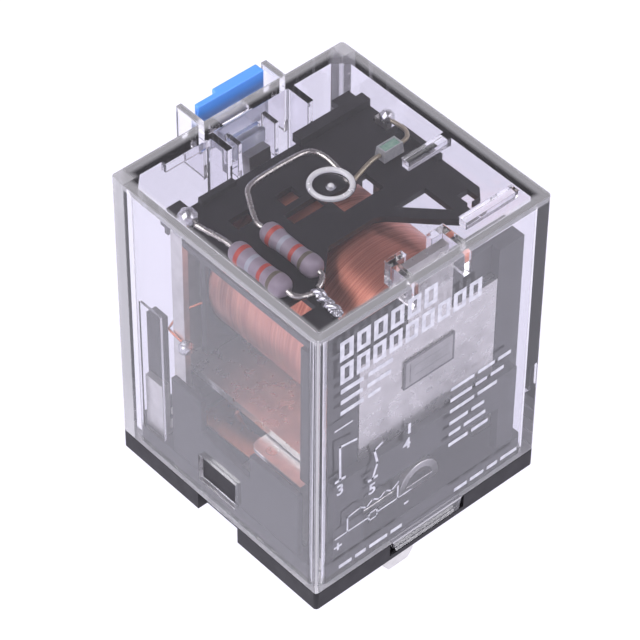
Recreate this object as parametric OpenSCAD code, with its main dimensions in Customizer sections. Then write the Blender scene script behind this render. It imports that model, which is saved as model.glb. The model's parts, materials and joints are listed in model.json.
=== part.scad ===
// Plug-in power relay with a clear cover, test button and operation indicator.
// Origin: centre of the seating face, the underside of the base rim. +Z is up,
// the printed face looks along -Y, and the test button is on the +Y face.
// The moving parts are drawn released, with the armature leaning away from the core.

/* [Case] */
// Width of the cover and of the base rim, along X
case_w = 34.5; // [34:0.5:42]
// Depth of the cover and of the base rim, along Y
case_d = 34.5; // [33:0.5:42]
// Thickness of the cover's side walls
wall = 1.4; // [1:0.1:1.7]
// Thickness of the cover's roof
roof = 1.5; // [1:0.1:2.5]
// Height of the base rim that the cover stands on
rim_h = 2.65; // [2.2:0.05:4]
// Height of the base deck above the seating face
deck_h = 5.6; // [5.2:0.1:8]
// Clearance between the base plug and the cover, each side
plug_fit = 0.15; // [0.1:0.05:0.25]
// Gap under the cover's lower edge
seat_gap = 0.05; // [0:0.05:0.2]
// Free height between the top plate and the cover's roof
head_room = 3.9; // [3.6:0.1:7]

/* [Magnet system] */
// Sideways offset of the coil, core and armature from the middle of the case
mech_x = 1.2; // [0.8:0.1:1.4]
// Height of the contact chamber, from the deck to the yoke
chamber_h = 9.4; // [9.2:0.1:13]
// Thickness of the yoke's sheet steel
yoke_t = 1.1; // [0.9:0.1:1.6]
// How much narrower than the cover's inside half the yoke is
yoke_inset = 3.2; // [2.9:0.1:4.5]
// Width of the yoke's upright leg
leg_w = 20.7; // [18:0.1:22]
// Outer radius of the winding
coil_r = 10.4; // [8.6:0.1:10.8]
// Radius of the iron core
core_r = 4.5; // [3:0.1:5]
// Thickness of the armature
armature_t = 1.3; // [1:0.1:1.4]
// Width of the armature
armature_w = 23; // [19:0.5:24]
// Angle that the armature leans back by when released
lean = 4.5; // [3.5:0.1:4.6]

/* [Contacts] */
// Distance from the case's inner side wall to the middle of a contact
contact_inset = 3.25; // [3:0.05:3.6]
// Distance of the contacts in front of the case's middle
contact_y = 5.5; // [4.5:0.5:6]
// Radius of a contact rivet's head
contact_r = 1.5; // [1.1:0.1:1.6]
// Thickness of the moving contact springs
leaf_t = 0.35; // [0.25:0.05:0.4]
// Width of the moving contact springs
leaf_w = 3; // [2.4:0.1:3.2]

/* [Terminals] */
// Thickness of every plug blade
blade_t = 0.8; // [0.6:0.1:1]
// Width of every plug blade
blade_w = 4.7; // [3.6:0.1:5.2]
// Length of a blade below the seating face
blade_l = 9; // [7:0.5:14]
// Distance of the side blades from the outside of the case
blade_inset = 5.55; // [5.3:0.05:6.2]
// Distance of the two coil blades from the rear of the case
coil_blade_inset = 5.65; // [5.3:0.05:6]
// Distance of the side contact blades in front of the middle of the case
side_blade_y = 2; // [1.5:0.1:3]
// Distance of the front contact blade from the front of the case
front_blade_inset = 4.95; // [4.65:0.05:5.1]
// Distance of the centre contact blade behind the middle of the case
centre_blade_y = 2; // [1:0.1:3]

/* [Top plate parts] */
// Thickness of the top plate
plate_t = 0.9; // [0.7:0.1:1.2]
// Diameter of the resistors at their ends
resistor_d = 2.7; // [2.2:0.1:3]
// Length of the resistors' bodies
resistor_l = 9; // [7:0.5:9.5]
// Diameter of the resistors' and the indicator's lead wires
lead_d = 0.7; // [0.5:0.05:0.8]

/* [Test button] */
// Width of the test button
button_w = 9.8; // [8:0.1:10]
// Distance of the button's middle from the case's middle, along X
button_x = 2; // [1.5:0.1:2.2]
// Height of the button's stem
button_h = 5.1; // [4.4:0.1:5.2]
// Width of the stem that passes through the cover
stem_w = 4; // [3.2:0.1:4.6]
// How far the button stands out from the case
button_out = 3.35; // [3.3:0.05:4.5]

/* [Hidden] */
$fn = 48;

// Case, from the seating face up
in_x = case_w / 2 - wall;
in_y = case_d / 2 - wall;
plug_x = in_x - plug_fit;
plug_y = in_y - plug_fit;
cover_z = rim_h + seat_gap;
case_corner = 0.5;
pad_t = 0.4;
rear_chamfer = 1.6;
front_chamfer = 0.5;
lay = 0.05;                                  // gap under pieces that lie on the deck
deck_z = deck_h + lay;
window_half = 3.2;
window_z0 = cover_z + 2.8;
window_z1 = cover_z + 6.9;
latch_gap = 0.3;
tab_half = 5.4;
tab_drop = 1.9;
wall_step_y = -5;                            // the base's side walls are higher in front of this
wall_back_y = 3.35;                          // and higher again behind this

// Magnet system
yoke_z = deck_h + chamber_h;
yoke_top = yoke_z + yoke_t;
coil_z = yoke_top + 0.5 + coil_r;
plate_z = coil_z + coil_r + 0.1;
plate_top = plate_z + plate_t;
roof_z = plate_top + head_room;
top_z = roof_z + roof;
cover_h = top_z - cover_z;
yoke_half = in_x - yoke_inset;
leg_y = -in_y + 1.55;                        // front face of the yoke's leg
yoke_end = in_y - 4.35;                      // rear end of the yoke, where the armature hinges
flange_t = 1;
pole_t = 0.95;
coil_y0 = leg_y + yoke_t + 1.4;
coil_y1 = yoke_end - pole_t - flange_t - 0.05;
front_wall_y = coil_y0 - 1.25;
pivot = [mech_x, yoke_end, yoke_z + yoke_t / 2];
air_gap = 0.1;                               // left between armature and pole when pulled in
armature_y = yoke_end + air_gap;
leg_half = leg_w / 2;
leg_top = coil_z + 6;
tongue_half = 3.3;
tenon = [7.4, 4.1];
lug_in = 4;                                  // the yoke's lugs, from its middle
lug_w = 2;
lug_fit = 0.15;
armature_top = coil_z + coil_r - 4.9;
tongue_w = 3.2;                              // width of the armature's tongue

// Contacts, given with the armature pulled in unless they say released
make_side = 1;
break_side = -1;
contact_x = in_x - contact_inset;
arm = yoke_end + contact_y;                  // from the pivot forward to the contacts
rise = arm * sin(lean);                      // how far a moving contact lifts when released
head_t = 0.45;
contact_clear = 0.05;
nc_strip_t = 0.6;
nc_strip_z = yoke_z - 0.2 - nc_strip_t;
nc_head_z = nc_strip_z - 0.4;                // lower face of the fixed break contact
leaf_top = nc_head_z - contact_clear - contact_r * sin(lean) - rise - head_t;
leaf_z = leaf_top - leaf_t;
no_head_z = leaf_z - head_t - contact_clear; // upper face of the fixed make contact
no_strip_top = no_head_z - 0.5;
strip_t = 0.8;
leaf_tip = -contact_y - 4.1;
blade_x = case_w / 2 - blade_inset;
block_half = blade_x + 0.5;
block_y = yoke_end - 3.9;
block_z = yoke_z - 4.7;
block_top = yoke_z - 1;
rivet_x = 5;
rivet_r = 0.8;
rivet_z = (block_z + yoke_z) / 2 - 0.6;
rivet_in = 2.2;                              // length of a rivet inside the block
braid_top = leaf_z + 0.1;
braid_d = 1.1;
braid_inset = 3.4;                           // of the braids from the contacts

// Terminals and top plate parts
coil_blade_y = case_d / 2 - coil_blade_inset;
front_blade_y = case_d / 2 - front_blade_inset;
run_w = 1.4;                                 // how far a coil terminal's run laps its blade
post_t = 0.8;
post_w = 2;
post_gap = 0.6;
lug_face = 0.85;                             // from the left wall to the coil terminal's lug
post_a_x = -in_x + 2.75;
post_b_x = in_x - 1.05;
post_a_y = in_y - 6.25;
post_b_y = in_y - 8.35;
post_top = plate_top + 0.6;
coil_end_z = yoke_top + 5.8;
resistor_z = plate_top + resistor_d / 2 + 0.05;
resistor_y = -2.35;
resistor_1_x = -in_x + 3.45;
resistor_2_x = -in_x + 8.05;
led_x = 9.8;
led_y = 1.8;
led_w = 3;
led_z = plate_top + 0.6;
lead_end_x = 5;                              // where the second resistor meets the indicator
twist_r = 0.6;
twist = [[-in_x + 6.15, resistor_y - 6, plate_top + 0.85],
         [-in_x + 5.7, resistor_y - 9.9, plate_top + 0.7]];

// Test button
button_z = roof_z - 0.4 - button_h;
button_half = button_w / 2;
button_fit = 0.2;
stem_x = button_x - 0.8;
stem_half = stem_w / 2;
stem_top = button_z + 2.4;
button_inner_y = in_y - 0.8;
tongue_top = button_z + 1.3;
throw = (tongue_top - pivot[2]) * sin(lean); // how far the button moves the armature's tongue
cap_y = case_d / 2 + throw + 0.1;
cap_top = top_z + 0.3;

// ---- shapes that repeat ----

// A box between two opposite corners, given in any order
module block(a, b) {
    translate([min(a[0], b[0]), min(a[1], b[1]), min(a[2], b[2])])
        cube([abs(b[0] - a[0]), abs(b[1] - a[1]), abs(b[2] - a[2])]);
}

// A round bar along Y
module rod_y(x, z, y0, y1, r) {
    translate([x, y0, z]) rotate([-90, 0, 0]) cylinder(h = y1 - y0, r = r);
}

// A rectangle with round corners, centred
module round_rect(w, d, r) {
    square([w - 2 * r, d], center = true);
    square([w, d - 2 * r], center = true);
    for (sx = [-1, 1], sy = [-1, 1]) translate([sx * (w / 2 - r), sy * (d / 2 - r)]) circle(r);
}

// The inside of the case, a centred rectangle with its rear corners cut more than its front ones
module inner_rect(w, d) {
    f = front_chamfer;
    r = rear_chamfer;
    polygon([[-w / 2 + f, -d / 2], [w / 2 - f, -d / 2], [w / 2, -d / 2 + f], [w / 2, d / 2 - r],
             [w / 2 - r, d / 2], [-w / 2 + r, d / 2], [-w / 2, d / 2 - r], [-w / 2, -d / 2 + f]]);
}

// A sheet bent in the YZ plane, from x0 to x1
module bent_sheet(x0, x1, outline) {
    translate([min(x0, x1), 0, 0]) rotate([90, 0, 90]) linear_extrude(abs(x1 - x0)) polygon(outline);
}

function unit(v) = v / norm(v);
function tangent(path, i) = let (n = len(path) - 1)
    unit(path[min(i + 1, n)] - path[max(i - 1, 0)]);

// A round wire swept along a path, with side as a direction that the path never takes
module wire(path, d, side = [0, 0, 1], sides = 10) {
    rings = [for (i = [0 : len(path) - 1]) let (t = tangent(path, i), n = unit(cross(side, t)),
        b = cross(t, n)) for (k = [0 : sides - 1]) path[i] + d / 2 * (cos(360 * k / sides) * n
        + sin(360 * k / sides) * b)];
    last = (len(path) - 1) * sides;
    polyhedron(points = rings, faces = concat(
        [[for (k = [0 : sides - 1]) k]],
        [[for (k = [sides - 1 : -1 : 0]) last + k]],
        [for (i = [0 : len(path) - 2], k = [0 : sides - 1]) [i * sides + k, (i + 1) * sides + k,
            (i + 1) * sides + (k + 1) % sides, i * sides + (k + 1) % sides]]));
}

// Points of a smooth curve through a path's own points
function curve(p, steps = 5) = let (n = len(p) - 1) concat([for (i = [0 : n - 1], s = [0 : steps - 1])
    let (a = p[max(i - 1, 0)], b = p[i], c = p[i + 1], e = p[min(i + 2, n)], t = s / steps)
    0.5 * (2 * b + (c - a) * t + (2 * a - 5 * b + 4 * c - e) * t * t
        + (3 * b - a - 3 * c + e) * t * t * t)], [p[n]]);

// Anything that swings with the armature, drawn pulled in and then released
module released() {
    translate(pivot) rotate([-lean, 0, 0]) translate(-pivot) children();
}

// One plug blade with a tapered tip, across = "x" or "y" for the way its width runs
module blade(x, y, across) {
    tip = 1.2;
    outline = [[-blade_w / 2, deck_z], [blade_w / 2, deck_z], [blade_w / 2, tip - blade_l],
               [blade_w / 2 - tip * 0.7, -blade_l], [tip * 0.7 - blade_w / 2, -blade_l],
               [-blade_w / 2, tip - blade_l]];
    translate([x, y, 0]) rotate([90, 0, across == "x" ? 0 : 90])
        translate([0, 0, -blade_t / 2]) linear_extrude(blade_t) polygon(outline);
}

// The slot in the base that a blade comes through
module blade_slot(x, y, across) {
    w = blade_w + 0.1;
    t = blade_t + 0.1;
    size = across == "x" ? [w, t] : [t, w];
    translate([x - size[0] / 2, y - size[1] / 2, -1]) cube([size[0], size[1], deck_h + 2]);
}

// ---- case ----

module cover_shell() {
    difference() {
        translate([0, 0, cover_z]) linear_extrude(cover_h) round_rect(case_w, case_d, case_corner);
        translate([0, 0, cover_z - 1]) linear_extrude(roof_z - cover_z + 1)
            inner_rect(2 * in_x, 2 * in_y);
    }
    // tab that drops over the base rim, below the printed face
    translate([0, wall - case_d / 2, 0]) rotate([90, 0, 0]) linear_extrude(wall)
        polygon([[-tab_half + 0.6, cover_z - tab_drop], [tab_half - 0.2, cover_z - tab_drop],
                 [tab_half + 0.2, cover_z + 0.1], [-tab_half, cover_z + 0.1]]);
}

// Clear hooks inside the roof that hold the yoke's tongue against the printed face
module tongue_hooks() {
    hook_z = plate_top + 0.5;
    hook_t = 0.9;
    back = leg_y + yoke_t + 0.15;
    for (side = [-1, 1]) {
        edge = mech_x + side * (tongue_half + 0.15);
        outer = edge + side * hook_t;
        block([edge, -in_y - 0.1, hook_z], [outer, back + hook_t, roof_z + 0.1]);
        block([edge - side * 1.6, back, hook_z], [outer, back + hook_t, roof_z + 0.1]);
    }
}

// Ribs and lugs moulded on the inside of the roof and walls
module cover_ribs() {
    block([in_x - 8.2, leg_y + 0.6, roof_z - 1.2], [in_x - 0.3, leg_y + 1.8, roof_z + 0.1]);
    block([in_x - 6.4, -2.5, roof_z - 1.3], [in_x + 0.1, -1.3, roof_z + 0.1]);
    block([-in_x + 4.8, in_y - 0.7, roof_z - 1.3], [-in_x + 12.2, in_y + 0.1, roof_z + 0.1]);
    // pad inside the left wall, in front of the coil's left terminal
    block([-in_x - 0.1, in_y - 5.8, deck_h + 0.3], [-in_x + pad_t, in_y - 2.1, coil_end_z + 4.5]);
}

// Clear cheeks inside and ears outside that guide the test button
module button_guides() {
    cheek_t = 0.8;
    gap = button_half + 0.75;
    rib = stem_half + button_fit + 0.25;
    for (side = [-1, 1]) {
        inner = button_x + side * gap;
        outer = inner + side * cheek_t;
        block([inner, in_y - 3.45, armature_top + 0.2], [outer, in_y + 0.1, roof_z + 0.1]);
        ear = side < 0 ? button_out + 0.7 : button_out;
        block([inner, case_d / 2 - 0.1, button_z - 1.7], [outer, case_d / 2 + ear, top_z]);
        // ribs beside the stem
        block([stem_x + side * rib, in_y - 2.3, button_z - 1.2],
              [stem_x + side * (rib + 0.6), in_y + 0.1, stem_top + 1.6]);
    }
    // ledge under the stem
    block([stem_x - rib - 0.1, in_y - 0.7, button_z - 1.2],
          [stem_x + rib + 0.1, in_y + 0.1, button_z - 0.4]);
}

module cover() {
    ring_r = 2.75;
    color("lightcyan", 0.4) difference() {
        union() {
            cover_shell();
            tongue_hooks();
            cover_ribs();
            button_guides();
            translate([0, 0, top_z - 0.1]) cylinder(h = 0.35, r = ring_r);
        }
        translate([0, 0, top_z - 0.35]) cylinder(h = 1, r = ring_r - 0.55);
        for (side = [-1, 1]) translate([side * (in_x + wall / 2), 0, (window_z0 + window_z1) / 2])
            cube([wall + 1, 2 * window_half, window_z1 - window_z0], center = true);
        block([stem_x - stem_half - button_fit, in_y - 0.5, button_z - button_fit],
              [stem_x + stem_half + button_fit, case_d / 2 + 0.1, stem_top + button_fit]);
    }
    color("lightcyan", 0.4) translate([0, 0, top_z - 0.4]) cylinder(h = 0.35, r = 0.6);
}

// Side walls, rear posts and latches that stand on the deck
module base_uprights() {
    post_half = 1.35;
    post_y = in_y - 2.9;
    foot = deck_h - 0.1;
    for (side = [-1, 1]) {
        outer = side * (plug_x - 0.1);
        inner = side * (plug_x - 0.85);
        // the wall's top steps up at the front, slopes in the middle and steps up again at the back
        wall_end = side < 0 ? in_y - 7.2 : in_y - 9.6;
        bent_sheet(inner, outer, [[2.6 - in_y, foot], [wall_end, foot], [wall_end, yoke_top + 1.6],
            [wall_back_y, yoke_top + 1.6], [wall_back_y, deck_h + 7.2], [wall_step_y, deck_h + 6],
            [wall_step_y, yoke_z + 0.6], [2.6 - in_y, yoke_z + 0.6]]);
        // the left post is low and stands behind the coil terminal's lug
        post_out = side < 0 ? side * (in_x - lug_face - post_t - 0.05) : outer;
        post_in = side < 0 ? post_out - side * 1.1 : side * (plug_x - 1.3);
        post_front = side < 0 ? post_y - post_half + 0.5 : post_y - post_half;
        block([post_out, post_front, foot],
              [post_in, post_y + post_half, side < 0 ? coil_end_z + 1.5 : plate_z]);
        block([side * (in_x + 1), latch_gap - window_half, window_z0 + 0.4],
              [side * (plug_x - 0.6), window_half - latch_gap, window_z1 - 0.4]);
    }
}

module base() {
    notch_half = 3.5;
    color([0.14, 0.14, 0.15]) difference() {
        union() {
            linear_extrude(rim_h) round_rect(case_w, case_d, case_corner);
            translate([0, 0, rim_h - 0.1]) linear_extrude(deck_h - rim_h + 0.1)
                inner_rect(2 * plug_x, 2 * plug_y);
            base_uprights();
        }
        for (side = [-1, 1]) translate([side * (case_w / 2), 0, rim_h / 2])
            cube([2 * wall, 2 * notch_half, rim_h + 0.1], center = true);
        block([-tab_half - 0.4, -case_d / 2 - 0.1, cover_z - tab_drop - 0.1],
              [tab_half + 0.5, wall - case_d / 2 + 0.05, rim_h + 0.1]);
        // shallow pockets in the underside, between the blades
        for (sx = [-1, 1], y = [-case_d / 2 + 2.4, 4.5]) block([sx * 6.2 - 3.4, y, -0.1],
            [sx * 6.2 + 3.4, y + (y < 0 ? 11.5 : 9), 0.5]);
        blade_slot(-blade_x, coil_blade_y, "y");
        blade_slot(blade_x, coil_blade_y, "y");
        blade_slot(break_side * blade_x, -side_blade_y, "y");
        blade_slot(make_side * blade_x, -side_blade_y, "y");
        blade_slot(0, -front_blade_y, "x");
        blade_slot(0, centre_blade_y, "x");
    }
}

// ---- magnet system ----

module yoke() {
    bend = leg_y + yoke_t;
    color("silver") {
        difference() {
            union() {
                block([mech_x - yoke_half, coil_y0 - 1.3, yoke_z],
                      [mech_x + yoke_half, yoke_end, yoke_top]);
                block([mech_x - leg_half, leg_y, yoke_z], [mech_x + leg_half, coil_y0, yoke_top]);
                block([mech_x - leg_half, leg_y, yoke_z], [mech_x + leg_half, bend, leg_top]);
                block([mech_x - tongue_half, leg_y, leg_top - 0.1],
                      [mech_x + tongue_half, bend, roof_z - 0.7]);
                for (side = [-1, 1]) block([mech_x + side * (lug_in + lug_w / 2) - lug_w / 2,
                    yoke_end - 0.1, yoke_z + 0.05], [mech_x + side * (lug_in + lug_w / 2) + lug_w / 2,
                    yoke_end + armature_t + 0.5, yoke_top - 0.05]);
            }
            translate([mech_x, leg_y + yoke_t / 2, coil_z])
                cube([tenon[0], yoke_t + 1, tenon[1]], center = true);
        }
    }
}

module core() {
    color("gainsboro") {
        translate([mech_x, leg_y + yoke_t / 2 - 0.1, coil_z])
            cube([tenon[0], yoke_t + 0.2, tenon[1]], center = true);
        rod_y(mech_x, coil_z, leg_y + yoke_t, yoke_end, core_r);
        rod_y(mech_x, coil_z, yoke_end - pole_t, yoke_end, coil_r * 0.66);
    }
}

module bobbin() {
    hole_r = core_r + 0.05;
    side_in = leg_half + 0.1;
    top = plate_z;
    foot_y = -plug_y + 0.15;
    color([0.16, 0.16, 0.17]) difference() {
        union() {
            rod_y(mech_x, coil_z, front_wall_y, coil_y1 + flange_t, core_r + 0.9);
            // front wall, which is also the winding's front flange
            block([-in_x + 1.85, front_wall_y, yoke_top + 0.05], [in_x - 0.35, coil_y0, top - 0.2]);
            // side columns and feet beside the yoke's leg
            for (side = [-1, 1]) {
                near = mech_x + side * side_in;
                far = side < 0 ? -in_x + 1.85 : in_x - 0.35;
                block([near, leg_y, yoke_top + 0.05], [far, front_wall_y + 0.1, top - 0.2]);
                foot = side < 0 ? far : far - 1.15;
                block([near, foot_y, deck_z], [foot, foot_y + 1.1, yoke_top + 1.9]);
                block([near, foot_y, yoke_top + 0.05], [foot, leg_y + 0.1, yoke_top + 1.9]);
            }
            // apron in front of the yoke's leg
            block([-in_x + 1.85, foot_y, yoke_z - 2.2], [in_x - 1.5, foot_y + 1.1, yoke_top + 1.9]);
            // rear flange
            translate([mech_x, coil_y1 + flange_t / 2, coil_z])
                cube([2 * coil_r + 0.6, flange_t, 2 * coil_r], center = true);
        }
        rod_y(mech_x, coil_z, front_wall_y - 1, yoke_end, hole_r);
    }
}

module coil_winding() {
    color([0.72, 0.42, 0.26]) difference() {
        rod_y(mech_x, coil_z, coil_y0 + 0.02, coil_y1 - 0.02, coil_r);
        rod_y(mech_x, coil_z, coil_y0 - 1, coil_y1 + 1, core_r + 0.92);
    }
}

module armature() {
    slot_gap = 0.35;
    edge = armature_y + armature_t;
    color("darkgray") released() difference() {
        union() {
            block([mech_x - armature_w / 2, armature_y, yoke_z - 4.2],
                  [mech_x + armature_w / 2, edge, armature_top]);
            block([stem_x - tongue_w / 2, armature_y, armature_top - 0.1],
                  [stem_x + tongue_w / 2, edge, tongue_top]);
        }
        for (side = [-1, 1]) {
            middle = mech_x + side * (lug_in + lug_w / 2);
            block([middle - lug_w / 2 - lug_fit, armature_y - 1, yoke_z - slot_gap],
                  [middle + lug_w / 2 + lug_fit, edge + 1, yoke_top + slot_gap]);
            rod_y(mech_x + side * rivet_x, rivet_z, armature_y - 1, edge + 1, rivet_r);
        }
    }
}

module moving_block() {
    color([0.2, 0.19, 0.18]) released() difference() {
        union() {
            block([-block_half, block_y, block_z], [block_half, armature_y, block_top]);
            for (side = [-1, 1]) block([side * (contact_x - 2) - 2.2, block_y - 1.4, leaf_z - 0.6],
                [side * (contact_x - 2) + 2.2, block_y + 0.1, leaf_top + 0.6]);
        }
        for (side = [-1, 1]) leaf_body(side);
        for (side = [-1, 1]) rod_y(mech_x + side * rivet_x, rivet_z, armature_y - rivet_in,
            armature_y + 1, rivet_r);
    }
}

module block_rivets() {
    color("silver") released() for (side = [-1, 1]) {
        edge = armature_y + armature_t;
        rod_y(mech_x + side * rivet_x, rivet_z, armature_y - rivet_in, edge, rivet_r);
        rod_y(mech_x + side * rivet_x, rivet_z, edge, edge + 0.4, rivet_r + 0.6);
    }
}

// One moving contact spring, pulled in: root held in the block, arm stepped out to the contact
module leaf_body(side) {
    root_in = contact_x - 4.6;
    root_out = block_half - 0.4;
    arm_in = contact_x - leaf_w / 2;
    arm_out = contact_x + leaf_w / 2;
    translate([0, 0, leaf_z]) linear_extrude(leaf_t) polygon([for (p = [
        [root_in, block_y + 2.6], [root_out, block_y + 2.6], [root_out, block_y - 0.4],
        [arm_out, block_y - 2], [arm_out, leaf_tip], [arm_in, leaf_tip], [arm_in, block_y - 4.2],
        [root_in, block_y - 2]]) [side * p[0], p[1]]]);
}

module contact_spring(side) {
    color([0.78, 0.5, 0.34]) released() difference() {
        leaf_body(side);
        translate([side * contact_x, -contact_y, leaf_z - 1]) cylinder(h = 2, r = contact_r * 0.5);
    }
}

// A rivet in a moving spring, with its head on the side that makes contact
module moving_contact(side, up) {
    head_z = up ? leaf_top : leaf_z - head_t;
    back_z = up ? leaf_z - 0.25 : leaf_top;
    color("whitesmoke") released() translate([side * contact_x, -contact_y, 0]) {
        translate([0, 0, head_z]) cylinder(h = head_t, r = contact_r);
        translate([0, 0, leaf_z]) cylinder(h = leaf_t, r = contact_r * 0.5);
        translate([0, 0, back_z]) cylinder(h = 0.25, r = contact_r * 0.7);
    }
}

module no_contact_spring() {
    contact_spring(make_side);
}

module nc_contact_spring() {
    contact_spring(break_side);
}

module no_moving_contact() {
    moving_contact(make_side, false);
}

module nc_moving_contact() {
    moving_contact(break_side, true);
}

module no_fixed_contact() {
    color("whitesmoke") translate([make_side * contact_x, -contact_y, 0]) {
        translate([0, 0, no_strip_top]) cylinder(h = no_head_z - no_strip_top, r = contact_r);
        translate([0, 0, no_strip_top - strip_t - 0.2])
            cylinder(h = strip_t + 0.2, r = contact_r * 0.5);
    }
}

module nc_fixed_contact() {
    color("whitesmoke") translate([break_side * contact_x, -contact_y, 0]) {
        translate([0, 0, nc_head_z]) cylinder(h = nc_strip_z - nc_head_z, r = contact_r);
        translate([0, 0, nc_strip_z]) cylinder(h = nc_strip_t, r = contact_r * 0.5);
    }
}

// ---- terminals ----

// Make contact: blade, run along the deck, upright, and a sloping pad under the spring
module no_fixed_terminal() {
    front = leg_y + 2.1;
    pad_end = -contact_y + 2.4;
    slope_end = -contact_y - 2.2;
    low = no_strip_top - 2.2;
    inner = make_side * (contact_x - leaf_w / 2);
    outer = make_side * (contact_x + leaf_w / 2 - 0.1);
    color("lightgray") difference() {
        union() {
            blade(make_side * blade_x, -side_blade_y, "y");
            block([inner, front, deck_z - 0.01], [outer, blade_w / 2 - side_blade_y, deck_z + strip_t]);
            bent_sheet(inner, outer, [[front, deck_z], [front, low], [slope_end, no_strip_top],
                [pad_end, no_strip_top], [pad_end, no_strip_top - strip_t],
                [slope_end + 0.2, no_strip_top - strip_t], [front + strip_t, low - 0.35],
                [front + strip_t, deck_z]]);
        }
        translate([make_side * contact_x, -contact_y, no_strip_top - 3])
            cylinder(h = 4, r = contact_r * 0.5);
    }
}

// Break contact: front blade, run across the deck, upright at the side, pad above the spring
module nc_fixed_terminal() {
    upright = leaf_tip - 1.5;
    inner = break_side * (contact_x - leaf_w / 2);
    outer = break_side * (contact_x + leaf_w / 2 - 0.1);
    run_y = -front_blade_y - 0.6;
    lug_r = 3;
    lug_t = 1;
    corner = 1.2;
    pad_end = -contact_y + 2.4;
    color("lightgray") difference() {
        union() {
            blade(0, -front_blade_y, "x");
            block([-break_side * blade_w / 2, run_y, deck_z - 0.01],
                  [outer, run_y + 2.2, deck_z + strip_t]);
            block([inner, run_y, deck_z - 0.01], [outer, upright, deck_z + strip_t]);
            block([inner, upright - strip_t, deck_z], [outer, upright, nc_strip_z + nc_strip_t]);
            block([inner, upright - strip_t, nc_strip_z],
                  [outer, pad_end - corner, nc_strip_z + nc_strip_t]);
            block([inner, upright, nc_strip_z],
                  [outer - break_side * corner, pad_end, nc_strip_z + nc_strip_t]);
            translate([outer - break_side * corner, pad_end - corner, nc_strip_z])
                cylinder(h = nc_strip_t, r = corner);
            // arched lug at the front
            translate([mech_x, -front_blade_y - 0.5, deck_z + 0.7]) rotate([90, 0, 0])
                linear_extrude(strip_t) intersection() {
                    difference() {
                        circle(lug_r);
                        circle(lug_r - lug_t);
                    }
                    translate([-lug_r, 0]) square([2 * lug_r, lug_r]);
                }
            block([mech_x - lug_r, -front_blade_y - 1.3, deck_z - 0.01],
                  [mech_x + lug_r, -front_blade_y, deck_z + strip_t]);
        }
        translate([break_side * contact_x, -contact_y, nc_strip_z - 1])
            cylinder(h = 3, r = contact_r * 0.5);
    }
}

module no_common_terminal() {
    color("lightgray") {
        blade(0, centre_blade_y, "x");
        block([make_side * (contact_x - braid_inset + 1), centre_blade_y - blade_t / 2, deck_z - 0.01],
              [-make_side * blade_w / 2, centre_blade_y + 1.6, deck_z + strip_t]);
    }
}

module nc_common_terminal() {
    color("lightgray") {
        blade(break_side * blade_x, -side_blade_y, "y");
        block([break_side * (contact_x - braid_inset - 1), -side_blade_y, deck_z - 0.01],
              [break_side * (blade_x + blade_t / 2), blade_w / 2 - side_blade_y + 0.6, deck_z + strip_t]);
    }
}

// A coil terminal: blade, short run on the deck and a tall post up to the top plate
module coil_terminal(side, post_x, post_y) {
    color("lightgray") {
        blade(side * blade_x, coil_blade_y, "y");
        block([side * (blade_x - post_t / 2), post_y - post_w / 2, deck_z - 0.01],
              [post_x + side * post_t / 2, coil_blade_y - blade_w / 2 + run_w, deck_z + strip_t]);
        block([post_x - post_t / 2, post_y - post_w / 2, deck_z],
              [post_x + post_t / 2, post_y + post_w / 2, post_top]);
    }
}

module coil_terminal_a() {
    lug_x = -in_x + lug_face;
    color("lightgray") {
        coil_terminal(-1, post_a_x, post_a_y);
        // lug beside the left wall, joined to the blade along the deck
        block([lug_x, in_y - 5, deck_z], [-blade_x, in_y - 3.9, deck_z + strip_t]);
        block([lug_x, in_y - 5, deck_z], [lug_x + post_t, in_y - 2, deck_z + 8.4]);
    }
}

module coil_terminal_b() { coil_terminal(1, post_b_x, post_b_y); }

// Stranded copper link from a common terminal to just under the spring's root
module braid(path) {
    color([0.75, 0.45, 0.3]) wire(curve(path), braid_d, [1, 0, 0], 8);
}

module no_braid() {
    x = make_side * (contact_x - braid_inset);
    y = centre_blade_y + 0.6;
    z = deck_z + strip_t + braid_d / 2 + 0.02;
    braid([[x, y, z], [x, y + 0.5, z], [x, y + 1.7, z + 1],
           [x, block_y - 3.2, deck_z + 3.2], [x, block_y - 2.6, braid_top - 1.3]]);
}

module nc_braid() {
    x = break_side * (contact_x - braid_inset);
    y = blade_w / 2 - side_blade_y - 0.2;
    z = deck_z + strip_t + braid_d / 2 + 0.02;
    braid([[x, y, z], [x, y + 0.5, z], [x, y + 1.8, z + 0.6],
           [x, block_y - 3.6, deck_z + 3.2], [x, block_y - 2.6, braid_top - 1.3]]);
}

// ---- springs, magnet ----

module return_spring() {
    coils = 5;
    steps = 16;
    spring_r = 1.7;
    wire_d = 0.45;
    rise_z = block_z - 0.05 - deck_z - wire_d;
    color("silver") translate([mech_x, yoke_end - 2, deck_z + wire_d / 2])
        wire([for (i = [0 : coils * steps]) [spring_r * cos(360 * i / steps),
            spring_r * sin(360 * i / steps), rise_z * i / (coils * steps)]], wire_d, [0, 0, 1], 8);
}

module arc_magnet() {
    color([0.25, 0.24, 0.24]) block([-4.5, -8.6, deck_z], [4.5, -3.6, deck_z + 5.4]);
}

// ---- top plate and what lies on it ----

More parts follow.
